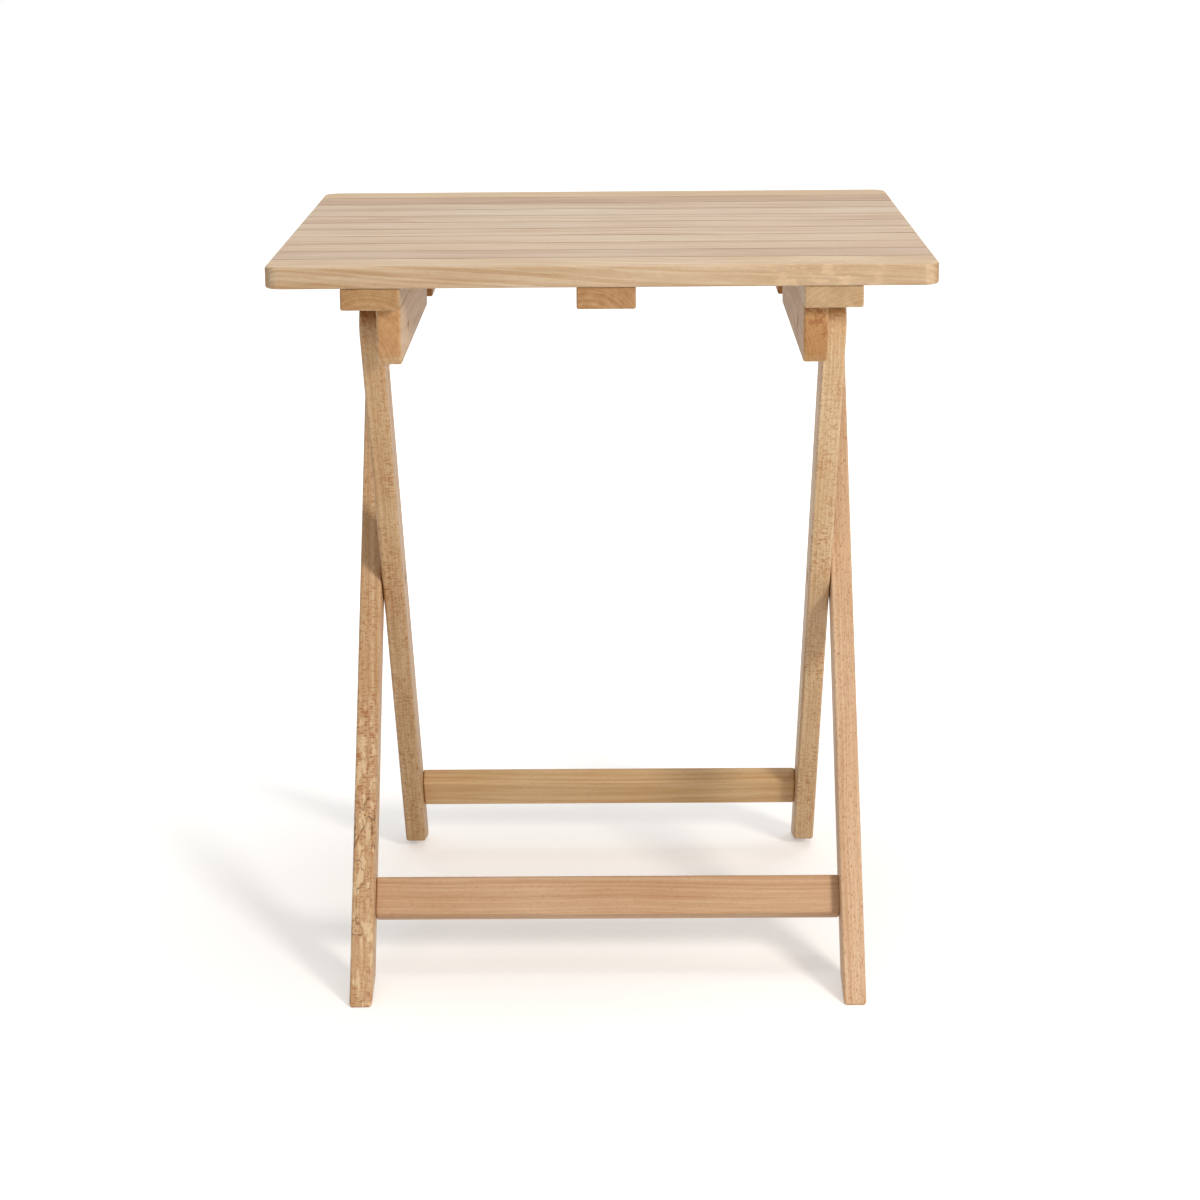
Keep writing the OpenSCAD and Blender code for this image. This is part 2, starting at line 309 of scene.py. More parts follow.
@dataclass(frozen=True)
class Timber:
    """Writes a board's wood coordinates, tint and figure onto its mesh.

    The grain vector holds metres along, across and through the tree, with the heart at zero, so
    rings are circles about it and the ends of a board show their arcs.
    """

    lean: float

    def axes(self, run: Run) -> tuple[Vector, Vector, Vector]:
        """Gives the unit directions along, across and through a board.

        Args:
            run: Which way the grain runs.

        Returns:
            The three directions.
        """
        side = Vector((1, 0, 0))
        if run is Run.LEFT_RIGHT:
            return side, Vector((0, 1, 0)), Vector((0, 0, 1))
        if run is Run.FRONT_BACK:
            return Vector((0, 1, 0)), side, Vector((0, 0, 1))
        sign = 1 if run is Run.UP_OUTER else -1
        along = Vector((0, sign * math.sin(self.lean), math.cos(self.lean)))
        return along, side, along.cross(side)

    def write(
        self,
        mesh: bpy.types.Mesh,
        faces: np.ndarray,
        board: Board,
        painted_shade: Callable[[Vector, Vector], float] = lambda _centre, _normal: 0.0,
    ) -> None:
        """Writes one board's attributes onto some faces of a mesh.

        Args:
            mesh: The mesh, which may hold other boards.
            faces: Indices of the faces that belong to this board.
            board: The board's looks.
            painted_shade: Function of a face's centre and normal that gives how much painted shade,
                darker and warmer, falls on the face.
        """
        axes = self.axes(board.run)
        corners = np.concatenate([np.array(mesh.polygons[f].loop_indices) for f in faces])
        ids = np.zeros(len(mesh.loops), np.int32)
        mesh.loops.foreach_get("vertex_index", ids)
        spots = np.zeros(len(mesh.vertices) * 3, np.float32)
        mesh.vertices.foreach_get("co", spots)
        spots = spots.reshape(-1, 3)[ids[corners]]
        centre = (spots.min(0) + spots.max(0)) / 2
        local = (spots - centre) @ np.array([list(a) for a in axes], np.float32).T
        from_knot = local - np.array([*board.knot, 0.0], np.float32)
        from_rot = (local[:, 0] - board.rot[0]) / board.rot[1]
        local[:, 1] += board.runout * local[:, 0] + board.heart[0]
        local[:, 2] += 0.5 * board.runout * local[:, 0] + board.heart[1]
        local[:, 0] += random.Random(board.seed).uniform(2, 30)
        normals = np.array([list(mesh.polygons[f].normal) for f in faces], np.float32)
        counts = [len(mesh.polygons[f].loop_indices) for f in faces]
        # Faces that look along the grain show end grain
        end = np.repeat(np.abs(normals @ np.array(axes[0], np.float32)), counts)
        # Painted shade for each face: darker and warmer in the joints between slats and on the rim
        face_shade = [painted_shade(mesh.polygons[f].center, mesh.polygons[f].normal) for f in faces]
        for name, kind, values in (
            ("grain", "FLOAT_VECTOR", local),
            ("from_knot", "FLOAT_VECTOR", from_knot),
            ("from_rot", "FLOAT", from_rot),
            ("painted_shade", "FLOAT", np.repeat(face_shade, counts)),
            ("tint", "FLOAT_COLOR", np.tile(linear(board.tint), (len(corners), 1))),
            ("figure", "FLOAT_COLOR", np.tile(board.figure.value, (len(corners), 1))),
            ("end_grain", "FLOAT", np.clip((end - 0.6) / 0.3, 0, 1)),
        ):
            self._store(mesh, name, kind, corners, values)

    @staticmethod
    def _store(
        mesh: bpy.types.Mesh, name: str, kind: str, where: np.ndarray, values: np.ndarray
    ) -> None:
        """Writes values at some face corners of an attribute, which is made if it is missing."""
        width = {"FLOAT": 1, "FLOAT_VECTOR": 3, "FLOAT_COLOR": 4}[kind]
        key = {"FLOAT": "value", "FLOAT_VECTOR": "vector", "FLOAT_COLOR": "color"}[kind]
        layer = mesh.attributes.get(name) or mesh.attributes.new(name, kind, "CORNER")
        data = np.zeros(len(mesh.loops) * width, np.float32)
        layer.data.foreach_get(key, data)
        data = data.reshape(-1, width)
        data[where] = np.asarray(values, np.float32).reshape(-1, width)
        layer.data.foreach_set(key, data.ravel())


@dataclass(frozen=True)
class Mark:
    """One kind of mark in wood: its length along the grain, its width and its raggedness."""

    length: float
    width: float
    detail: float = 1.0


class WoodNodes:
    """The node tree of a wood finish, which reads the attributes that Timber writes."""

    def __init__(self, tree: bpy.types.NodeTree) -> None:
        """Reads the attributes that many of the nodes need.

        Args:
            tree: The material's node tree.
        """
        self.tree = tree
        self.shader = tree.nodes["Principled BSDF"]
        self.grain = self.read("grain", "Vector")
        self.tint = self.read("tint", "Color")
        shares = add_node(tree, "ShaderNodeSeparateColor", inputs={0: self.read("figure", "Color")})
        self.flecked, self.rippled, self.spalted = (shares.outputs[i] for i in range(3))
        self.streaked = self.read("figure", "Alpha")

    def read(self, attribute: str, output: str = "Fac") -> bpy.types.NodeSocket:
        """Reads one of the boards' attributes."""
        node = add_node(self.tree, "ShaderNodeAttribute", {"attribute_name": attribute})
        return node.outputs[output]

    def math(self, operation: str, *values: object) -> bpy.types.NodeSocket:
        """Adds one step of arithmetic."""
        return math_node(self.tree, operation, *values)

    def sway(
        self, value: bpy.types.NodeSocket, depth: object, base: object
    ) -> bpy.types.NodeSocket:
        """Lets noise move a value up and down about a base, by at most half a depth each way."""
        return self.math("MULTIPLY_ADD", self.math("SUBTRACT", value, 0.5), depth, base)

    def inverse(self, value: bpy.types.NodeSocket) -> bpy.types.NodeSocket:
        """Turns a mask inside out."""
        return self.math("SUBTRACT", 1.0, value)

    def noise(self, mark: Mark) -> bpy.types.NodeSocket:
        """Adds noise whose features have a mark's real size, along and across the grain."""
        scale = (1 / mark.length, 1 / mark.width, 1 / mark.width)
        place = {"Vector": self.grain, "Scale": scale}
        scaled = add_node(self.tree, "ShaderNodeMapping", inputs=place).outputs[0]
        look = {"Vector": scaled, "Scale": 1.0, "Detail": mark.detail, "Roughness": 0.55}
        return add_node(self.tree, "ShaderNodeTexNoise", inputs=look).outputs["Fac"]

    def step(self, value: bpy.types.NodeSocket, low: float, high: float) -> bpy.types.NodeSocket:
        """Adds a soft step from 0 at low to 1 at high."""
        node = add_node(
            self.tree,
            "ShaderNodeMapRange",
            {"interpolation_type": "SMOOTHSTEP"},
            {"Value": value, "From Min": low, "From Max": high},
        )
        return node.outputs["Result"]

    def mix(
        self, blend: str, amount: object, first: object, second: object
    ) -> bpy.types.NodeSocket:
        """Adds a colour mix; first and second are sockets or linear colours."""
        node = add_node(
            self.tree,
            "ShaderNodeMix",
            {"data_type": "RGBA", "blend_type": blend, "clamp_factor": True},
            {0: amount, 6: first, 7: second},
        )
        return node.outputs[2]

    def stained(self, colour: bpy.types.NodeSocket, hex_colour: str) -> bpy.types.NodeSocket:
        """Darkens a colour by multiplying it with another."""
        return self.mix("MULTIPLY", 1.0, colour, linear(hex_colour))

    def lay(
        self, colour: bpy.types.NodeSocket, over: object, mask: bpy.types.NodeSocket, depth: float
    ) -> bpy.types.NodeSocket:
        """Lays one colour over another where a mask says.

        Args:
            colour: The colour beneath.
            over: The colour on top, a socket or a linear colour.
            mask: Where the top colour shows, from 0 to 1.
            depth: How much of it shows where the mask is 1.

        Returns:
            The mixed colour.
        """
        return self.mix("MIX", self.math("MULTIPLY", mask, depth), colour, over)


@dataclass(frozen=True)
class PlanedBeech:
    """Steamed beech, planed and sanded, with no oil: matt, with fine pores and short ray flecks."""

    name: str = "beech_planed"
    ring: float = 3.2 * MM                      # width of a year's growth
    wander: float = 7.0 * MM                    # how far the rings wander along the board
    wave: Mark = Mark(260 * MM, 70 * MM)        # the waves in which they wander
    streak: Mark = Mark(160 * MM, 6 * MM, 3.0)
    cloud: Mark = Mark(140 * MM, 60 * MM, 2.0)
    fibre: Mark = Mark(30 * MM, 1.4 * MM, 2.0)
    fleck: Mark = Mark(3.6 * MM, 0.8 * MM, 0.0)     # real flecks are 2 to 4 mm long
    ripple: Mark = Mark(1.7 * MM, 6 * MM)
    weave: Mark = Mark(16 * MM, 2.2 * MM)           # breaks up the ripples
    ripple_patch: Mark = Mark(90 * MM, 60 * MM)
    rot_patch: Mark = Mark(16 * MM, 5 * MM, 3.0)
    rot_border: Mark = Mark(60 * MM, 26 * MM, 3.0)
    pore: Mark = Mark(3.0 * MM, 0.5 * MM)           # drawn coarser than real, so that they show
    roughness: float = 0.52

    def build(self) -> bpy.types.Material:
        """Builds the material.

        Returns:
            The new material.
        """
        material = bpy.data.materials.new(self.name)
        material.use_nodes = True
        wood = WoodNodes(material.node_tree)
        fibres = wood.noise(self.fibre)
        flecks = wood.step(wood.noise(self.fleck), 0.62, 0.74)
        flecks = wood.math("MULTIPLY", flecks, wood.flecked)
        fleck_tint = wood.stained(wood.tint, "C08F6A")

        colour = self._growth(wood, fibres)
        colour = wood.lay(colour, fleck_tint, flecks, 0.75)
        colour = self._ripples(wood, colour)
        colour = self._rot(wood, colour)
        colour = self._knot(wood, colour, fibres, fleck_tint)
        # Painted shade, darker and warmer, on the sides of the joints between slats and on the rim
        # of the top
        colour = wood.mix("MIX", wood.read("painted_shade"), colour, wood.stained(colour, "9A6C45"))
        # End grain drinks more light than the sides
        colour = wood.lay(colour, wood.stained(colour, "E4CFB4"), wood.read("end_grain"), 0.9)

        height = wood.math("MULTIPLY_ADD", flecks, -0.5, wood.noise(self.pore))
        height = wood.math("MULTIPLY_ADD", fibres, 0.6, height)
        relief = {"Strength": 0.25, "Distance": 0.25 * MM, "Height": height}
        bump = add_node(wood.tree, "ShaderNodeBump", inputs=relief)
        rough = wood.math("MULTIPLY_ADD", fibres, 0.16, self.roughness - 0.08)
        wood.tree.links.new(colour, wood.shader.inputs["Base Color"])
        wood.tree.links.new(rough, wood.shader.inputs["Roughness"])
        wood.tree.links.new(bump.outputs["Normal"], wood.shader.inputs["Normal"])
        wood.shader.inputs["IOR"].default_value = 1.45
        return material

    def _growth(self, wood: WoodNodes, fibres: bpy.types.NodeSocket) -> bpy.types.NodeSocket:
        """Shades the wood by its rings, streaks, clouds and fibres.

        Dark wood is redder and pale wood is greyer, as in steamed beech.
        """
        streak_depth = wood.math("MULTIPLY_ADD", wood.streaked, 0.9, 0.15)
        shade = wood.math("MULTIPLY_ADD", self._rings(wood), 0.34, -0.17)
        shade = wood.sway(wood.noise(self.streak), streak_depth, shade)
        shade = wood.sway(wood.noise(self.cloud), 0.7, shade)
        shade = wood.sway(fibres, 0.45, shade)
        shade = wood.math("ADD", shade, 0.5)
        dark = wood.stained(wood.tint, "D9C3A8")
        pale = wood.mix("MIX", 0.22, wood.tint, linear("F2E6D2"))
        return wood.mix("MIX", shade, dark, pale)

    def _rings(self, wood: WoodNodes) -> bpy.types.NodeSocket:
        """Adds growth rings of uneven width about the tree's heart."""
        parts = add_node(wood.tree, "ShaderNodeSeparateXYZ", inputs={0: wood.grain})
        across = wood.math("MULTIPLY", parts.outputs["Y"], parts.outputs["Y"])
        through = wood.math("MULTIPLY", parts.outputs["Z"], parts.outputs["Z"])
        radius = wood.math("SQRT", wood.math("ADD", across, through))
        radius = wood.math("MULTIPLY_ADD", wood.noise(self.wave), 2 * self.wander, radius)
        ring = add_node(
            wood.tree,
            "ShaderNodeTexNoise",
            {"noise_dimensions": "1D"},
            {
                "W": wood.math("DIVIDE", radius, self.ring),
                "Scale": 1.0,
                "Detail": 2.0,
                "Roughness": 0.6,
            },
        )
        return wood.step(ring.outputs["Fac"], 0.3, 0.7)

    def _ripples(self, wood: WoodNodes, colour: bpy.types.NodeSocket) -> bpy.types.NodeSocket:
        """Adds cross ripples, which come and go along the board."""
        ripples = wood.sway(wood.noise(self.weave), 0.5, wood.noise(self.ripple))
        patches = wood.step(wood.noise(self.ripple_patch), 0.25, 0.65)
        ripples = wood.math("MULTIPLY", wood.step(ripples, 0.5, 0.66), patches)
        ripples = wood.math("MULTIPLY", ripples, wood.rippled)
        return wood.lay(colour, wood.stained(wood.tint, "C59672"), ripples, 0.9)

    def _rot(self, wood: WoodNodes, colour: bpy.types.NodeSocket) -> bpy.types.NodeSocket:
        """Adds cream patches where the tree had begun to rot, with thin dark wavy borders."""
        away = wood.step(wood.math("ABSOLUTE", wood.read("from_rot")), 0.6, 1.0)
        rotten = wood.math("MULTIPLY", wood.inverse(away), wood.spalted)
        cream = wood.math("MULTIPLY", wood.step(wood.noise(self.rot_patch), 0.50, 0.60), rotten)
        colour = wood.lay(colour, linear("E9CFA6"), cream, 0.6)
        border = wood.math("SUBTRACT", wood.noise(self.rot_border), 0.6)
        border = wood.inverse(wood.step(wood.math("ABSOLUTE", border), 0.002, 0.010))
        border = wood.math("MULTIPLY", border, wood.step(rotten, 0.75, 0.95))
        return wood.lay(colour, linear("5E3A1E"), border, 0.75)

    def _knot(
        self,
        wood: WoodNodes,
        colour: bpy.types.NodeSocket,
        fibres: bpy.types.NodeSocket,
        halo_tint: bpy.types.NodeSocket,
    ) -> bpy.types.NodeSocket:
        """Adds a pin knot: a dark core, drawn out along the grain, in a darker halo."""
        place = {"Vector": wood.read("from_knot", "Vector"), "Scale": (0.45, 1.0, 0.2)}
        drawn = add_node(wood.tree, "ShaderNodeMapping", inputs=place).outputs[0]
        reach = add_node(wood.tree, "ShaderNodeVectorMath", {"operation": "LENGTH"}, {0: drawn})
        ragged = wood.math("MULTIPLY_ADD", fibres, 3 * MM, reach.outputs["Value"])
        halo = wood.inverse(wood.step(ragged, 3 * MM, 16 * MM))
        core = wood.inverse(wood.step(ragged, 2.0 * MM, 4.5 * MM))
        colour = wood.lay(colour, halo_tint, halo, 0.35)
        return wood.lay(colour, linear("7A5233"), core, 0.8)


@dataclass(frozen=True)
class BronzedSteel:
    """Steel fastener with a brown passivated skin: dull, slightly mottled, metallic."""

    name: str = "steel_bronzed"
    pale: str = "8A6A4C"
    dark: str = "5A4230"
    mottle: float = 1.5 * MM

    def build(self) -> bpy.types.Material:
        """Builds the material.

        Returns:
            The new material.
        """
        material = bpy.data.materials.new(self.name)
        material.use_nodes = True
        tree = material.node_tree
        shader = tree.nodes["Principled BSDF"]
        place = add_node(tree, "ShaderNodeTexCoord").outputs["Object"]
        mottle = add_node(
            tree,
            "ShaderNodeTexNoise",
            inputs={"Vector": place, "Scale": 1 / self.mottle, "Detail": 3.0},
        ).outputs["Fac"]
        colour = add_node(
            tree,
            "ShaderNodeMix",
            {"data_type": "RGBA"},
            {0: mottle, 6: linear(self.dark), 7: linear(self.pale)},
        )
        rough = math_node(tree, "MULTIPLY_ADD", mottle, 0.25, 0.35)
        tree.links.new(colour.outputs[2], shader.inputs["Base Color"])
        tree.links.new(rough, shader.inputs["Roughness"])
        shader.inputs["Metallic"].default_value = 1.0
        return material


@dataclass
class Finishes:
    """The finishes the pieces share."""

    beech: bpy.types.Material = field(default_factory=lambda: PlanedBeech().build())
    steel: bpy.types.Material = field(default_factory=lambda: BronzedSteel().build())


# ---------------------------------------------------------------- boards


@dataclass
class Joiner:
    """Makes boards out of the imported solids."""

    timber: Timber
    finishes: Finishes

    def make(
        self,
        board: Board,
        share: Callable[[Vector, Vector], float] = lambda _a, _b: 1.0,
        painted_shade: Callable[[Vector, Vector], float] = lambda _centre, _normal: 0.0,
    ) -> bpy.types.Object:
        """Makes one board with eased arrises, its wood and its finish.

        Args:
            board: What to make.
            share: Function of an edge's two ends that gives its share of the board's rounding.
            painted_shade: Function of a face's centre and normal that gives how much painted shade,
                darker and warmer, falls on the face.

        Returns:
            The finished piece.
        """
        along, _, _ = self.timber.axes(board.run)
        piece = new_piece(board.node + "_board", merged_copy(board.node, along))
        self.ease(piece, share, board.arris)
        mesh = piece.data
        self.timber.write(mesh, np.arange(len(mesh.polygons)), board, painted_shade)
        dress(piece, self.finishes.beech)
        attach(piece, board.body)
        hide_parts(board.node)
        return piece

    @staticmethod
    def ease(
        piece: bpy.types.Object, share: Callable[[Vector, Vector], float], width: float
    ) -> None:
        """Rounds a piece's arrises over and leaves the rims of its holes crisp.

        Args:
            piece: The piece, whose modifiers are applied.
            share: Function of an edge's two ends that gives its share of the width.
            width: The rounding's width in metres.
        """
        shape = bmesh.new()
        shape.from_mesh(piece.data)
        layer = shape.edges.layers.float.new("bevel_weight_edge")
        for ring, spots in sharp_rings(shape):
            for edge in ring:
                if is_hole(spots):
                    edge.smooth = False
                else:
                    edge[layer] = share(edge.verts[0].co, edge.verts[1].co)
        shape.to_mesh(piece.data)
        shape.free()
        bevel = piece.modifiers.new("arris", "BEVEL")
        bevel.width = width
        bevel.segments = 3
        bevel.limit_method = "WEIGHT"
        bevel.use_clamp_overlap = False
        flat = piece.modifiers.new("flat_faces", "WEIGHTED_NORMAL")
        flat.keep_sharp = True
        flat.weight = 100
        piece.data.polygons.foreach_set("use_smooth", [True] * len(piece.data.polygons))
        apply_modifiers(piece)


# ---------------------------------------------------------------- geometry nodes


class Tree:
    """A Geometry Nodes tree with named inputs."""

    def __init__(self, name: str, inputs: dict[str, tuple[str, object]]) -> None:
        """Makes the tree and its inputs.

        Args:
            name: The tree's name.
            inputs: Socket type and default value by input name.
        """
        self.tree = bpy.data.node_groups.new(name, "GeometryNodeTree")
        face = self.tree.interface
        face.new_socket("Geometry", in_out="INPUT", socket_type="NodeSocketGeometry")
        for label, (kind, value) in inputs.items():
            socket = face.new_socket(label, in_out="INPUT", socket_type=kind)
            if value is not None:
                socket.default_value = value
        face.new_socket("Geometry", in_out="OUTPUT", socket_type="NodeSocketGeometry")
        self.given = self.tree.nodes.new("NodeGroupInput").outputs
        self.result = self.tree.nodes.new("NodeGroupOutput").inputs

    def add(
        self, kind: str, settings: dict | None = None, inputs: dict | None = None
    ) -> bpy.types.Node:
        """Adds a node to the tree."""
        return add_node(self.tree, kind, settings, inputs)

    def close(self, geometry: bpy.types.NodeSocket) -> None:
        """Ends the tree in real geometry with its material set.

        Args:
            geometry: The last geometry socket.
        """
        real = self.add("GeometryNodeRealizeInstances", inputs={0: geometry})
        dressed = self.add(
            "GeometryNodeSetMaterial",
            inputs={"Geometry": real.outputs[0], "Material": self.given["Material"]},
        )
        self.tree.links.new(dressed.outputs[0], self.result[0])

    def run_on(self, piece: bpy.types.Object, values: dict[str, object]) -> None:
        """Runs the tree on a piece and keeps the result as its mesh.

        Args:
            piece: The piece to build.
            values: Values by input name.
        """
        modifier = piece.modifiers.new(self.tree.name, "NODES")
        modifier.node_group = self.tree
        for item in self.tree.interface.items_tree:
            if item.item_type == "SOCKET" and item.in_out == "INPUT" and item.name in values:
                modifier[item.identifier] = values[item.name]
        piece.data.update()
        apply_modifiers(piece)


def slat_row_tree() -> Tree:
    """Builds the tree that lays straight slats side by side.

    Returns:
        The tree.
    """
    row = Tree(
        "slat_row",
        {
            "Count": ("NodeSocketInt", 2),
            "Pitch": ("NodeSocketFloat", 0.05),
            "Slat size": ("NodeSocketVector", (0.6, 0.05, 0.02)),
            "First slat": ("NodeSocketVector", (0, 0, 0)),
            "Material": ("NodeSocketMaterial", None),
        },
    )
    given = row.given
    step = row.add("ShaderNodeCombineXYZ", inputs={"Y": given["Pitch"]})
    places = row.add(
        "GeometryNodeMeshLine",
        {"mode": "OFFSET"},
        {"Count": given["Count"], "Start Location": given["First slat"], "Offset": step.outputs[0]},
    )
    slat = row.add("GeometryNodeMeshCube", inputs={"Size": given["Slat size"]})
    laid = row.add(
        "GeometryNodeInstanceOnPoints",
        inputs={"Points": places.outputs[0], "Instance": slat.outputs[0]},
    )
    row.close(laid.outputs[0])
    return row


def cross_screw_tree() -> Tree:
    """Builds the tree that sets a countersunk cross-head screw at every point, head down.

    Returns:
        The tree.
    """
    screws = Tree(
        "cross_screws",
        {
            "Head radius": ("NodeSocketFloat", 0.004),
            "Shank radius": ("NodeSocketFloat", 0.002),
            "Head depth": ("NodeSocketFloat", 0.002),
            "Shank length": ("NodeSocketFloat", 0.03),
            "Slot width": ("NodeSocketFloat", 0.001),
            "Slot depth": ("NodeSocketFloat", 0.0015),
            "Material": ("NodeSocketMaterial", None),
        },
    )
    given = screws.given
    head = screws.add(
        "GeometryNodeMeshCone",
        inputs={
            "Vertices": 32,
            "Radius Bottom": given["Head radius"],
            "Radius Top": given["Shank radius"],
            "Depth": given["Head depth"],
        },
    )
    cut = screws.add(
        "GeometryNodeMeshBoolean", {"operation": "DIFFERENCE"}, {"Mesh 1": head.outputs[0]}
    )
    long = math_node(screws.tree, "MULTIPLY", given["Head radius"], 1.2)
    deep = math_node(screws.tree, "MULTIPLY", given["Slot depth"], 2.0)
    for x, y in ((long, given["Slot width"]), (given["Slot width"], long)):
        size = screws.add("ShaderNodeCombineXYZ", inputs={0: x, 1: y, 2: deep})
        bar = screws.add("GeometryNodeMeshCube", inputs={"Size": size.outputs[0]})
        screws.tree.links.new(bar.outputs[0], cut.inputs["Mesh 2"])
    shank = screws.add(
        "GeometryNodeMeshCylinder",
        inputs={"Vertices": 16, "Radius": given["Shank radius"], "Depth": given["Shank length"]},
    )
    half = math_node(screws.tree, "MULTIPLY", given["Shank length"], 0.5)
    up = math_node(screws.tree, "ADD", half, given["Head depth"])
    lift = screws.add("ShaderNodeCombineXYZ", inputs={"Z": up})
    raised = screws.add(
        "GeometryNodeTransform",
        inputs={"Geometry": shank.outputs[0], "Translation": lift.outputs[0]},
    )
    whole = screws.add("GeometryNodeJoinGeometry")
    screws.tree.links.new(cut.outputs[0], whole.inputs[0])
    screws.tree.links.new(raised.outputs[0], whole.inputs[0])
    placed = screws.add(
        "GeometryNodeInstanceOnPoints",
        inputs={"Points": given["Geometry"], "Instance": whole.outputs[0]},
    )
    screws.close(placed.outputs[0])
    return screws


# ---------------------------------------------------------------- sub-assemblies


@dataclass
class TableTop:
    """The slats, their battens, the rails, the stop blocks and the screws that hold them."""

    joiner: Joiner
    body: str = "table_top"
    slot: str = "slats"
    corner_radius: float = 15 * MM
    rim_arris: float = 2.4 * MM
    joint_arris: float = 0.9 * MM
    end_corner: float = 4.0 * MM    # upright corners at the slats' ends
    half_depth: float = 0.3         # from the middle of the top to its rim, front to back
    # How deep the painted shade goes in the joints between slats and on the rim of the top
    joint_shade: float = 1.0
    rim_shade: float = 0.14
    screw_shank: float = 2.0 * MM
    screw_head: float = 1.9         # the head's radius over the shank's
    cross_width: float = 1.1 * MM
    slat_tints: tuple[str, ...] = (
        "C7AF8E", "B8A18A", "C4AD92", "C7B39A", "C4AE94", "C6B39D",
        "C5B099", "C8B7A2", "C4B099", "B09071", "C9AF88",
    )
    slat_figures: dict[int, Figure] = field(
        default_factory=lambda: {0: Figure.PALE_STREAKS, 9: Figure.STREAKED}
    )
    slat_knots: dict[int, tuple[float, float]] = field(default_factory=lambda: {6: (-0.215, 0.004)})
    slat_rots: dict[int, tuple[float, float]] = field(default_factory=lambda: {0: (0.2, 0.06)})
    under_boards: tuple[Board, ...] = (
        Board(
            "batten_left", "table_top", Run.FRONT_BACK, "B79868", 21, Figure.STREAKED,
            heart=(0.01, 0.05), runout=0.03, slot="underframe",
        ),
        Board(
            "batten_middle", "table_top", Run.FRONT_BACK, "B79463", 22, Figure.STREAKED,
            heart=(0.02, 0.04), slot="underframe",
        ),
        Board(
            "batten_right", "table_top", Run.FRONT_BACK, "CABBA0", 23, Figure.STREAKED,
            heart=(-0.03, 0.05), slot="underframe",
        ),
        Board(
            "rail_left", "table_top", Run.FRONT_BACK, "C8A472", 24, Figure.STREAKED,
            arris=2.5 * MM, heart=(0.05, 0.03), runout=0.02, slot="underframe",
        ),
        Board(
            "rail_right", "table_top", Run.FRONT_BACK, "C29B5C", 25, Figure.RIPPLED,
            arris=2.5 * MM, heart=(0.05, 0.02), slot="underframe",
        ),
        Board(
            "stop_block_left", "table_top", Run.FRONT_BACK, "BC8C53", 26, Figure.PLAIN,
            heart=(0.05, 0.03), slot="underframe",
        ),
        Board(
            "stop_block_right", "table_top", Run.FRONT_BACK, "BA8644", 27, Figure.PLAIN,
            heart=(0.05, 0.03), slot="underframe",
        ),
    )

    def nodes(self) -> list[str]:
        """Gives the slats' node names, front to back."""
        return [f"slat_{i:02d}" for i in range(1, len(self.slat_tints) + 1)]

    def build(self) -> list[bpy.types.Object]:
        """Builds every piece of the top.

        Returns:
            The pieces.
        """
        pieces = [*self.slats(), self.screws()]
        pieces += [self.joiner.make(board) for board in self.under_boards]
        return pieces

    def slat_board(self, index: int) -> Board:
        """Gives one slat its wood.

        Args:
            index: The slat's place from the front, from 0.

        Returns:
            The slat's board.
        """
        chance = random.Random(100 + index)
        return Board(
            node=self.nodes()[index],
            body=self.body,
            run=Run.LEFT_RIGHT,
            tint=self.slat_tints[index],
            seed=100 + index,
            figure=self.slat_figures.get(index, Figure.PLAIN),
            arris=self.end_corner,
            heart=(chance.uniform(-0.04, 0.04), -chance.uniform(0.05, 0.12)),
            runout=0.05 if index == 0 else chance.uniform(-0.02, 0.02),
            slot=self.slot,
            knot=self.slat_knots.get(index, Board.knot),
            rot=self.slat_rots.get(index, Board.rot),
        )

    def share(self, a: Vector, b: Vector) -> float:
        """Rounds the slats' upright corners most, then the rim of the top, then the joints."""
        if abs(a.z - b.z) > self.rim_arris:
            return 1.0
        along = abs(a.x - b.x) > self.corner_radius
        on_rim = min(abs(a.y), abs(b.y)) > self.half_depth - 0.1 * MM
        return (self.joint_arris if along and not on_rim else self.rim_arris) / self.end_corner

    def painted_shade(self, centre: Vector, normal: Vector) -> float:
        """Paints shade, darker and warmer, on the sides of the joints between slats, less on the rim
        of the top, and none on the faces.
        """
        if abs(normal.x) > 0.2:     # the slats' ends stay pale
            return 0.0
        side = min(1.0, max(0.0, (abs(normal.y) - 0.1) / 0.25))
        rim = abs(centre.y) > self.half_depth - 2 * self.corner_radius
        return side * (self.rim_shade if rim else self.joint_shade)

    def slats(self) -> list[bpy.types.Object]:
        """Lays the straight slats, and makes the first and last with their rounded corners.

        Returns:
            The finished pieces.
        """
        names = self.nodes()
        boxes = [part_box(n) for n in names]
        self.half_depth = boxes[-1][1].y
        middle = [(lo + hi) / 2 for lo, hi in boxes[1:-1]]
        size = boxes[1][1] - boxes[1][0]
        row = new_piece("table_slats", bpy.data.meshes.new("slats"))
        slat_row_tree().run_on(
            row,
            {
                "Count": len(middle),
                "Pitch": (middle[-1].y - middle[0].y) / (len(middle) - 1),
                "Slat size": (size.x, size.y, size.z),
                "First slat": (middle[0].x, middle[0].y, middle[0].z),
                "Material": self.joiner.finishes.beech,
            },
        )
        self.joiner.ease(row, self.share, self.end_corner)
        mesh = row.data
        depths = np.array([p.center.y for p in mesh.polygons])
        owners = np.abs(depths[:, None] - np.array([c.y for c in middle])[None, :]).argmin(1)
        for i in range(len(middle)):
            own = np.flatnonzero(owners == i)
            self.joiner.timber.write(mesh, own, self.slat_board(i + 1), self.painted_shade)
        dress(row, self.joiner.finishes.beech)
        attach(row, self.body)
        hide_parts(*names[1:-1])
        ends = [
            self.joiner.make(self.slat_board(i), self.share, self.painted_shade)
            for i in (0, len(names) - 1)
        ]
        return [row, *ends]

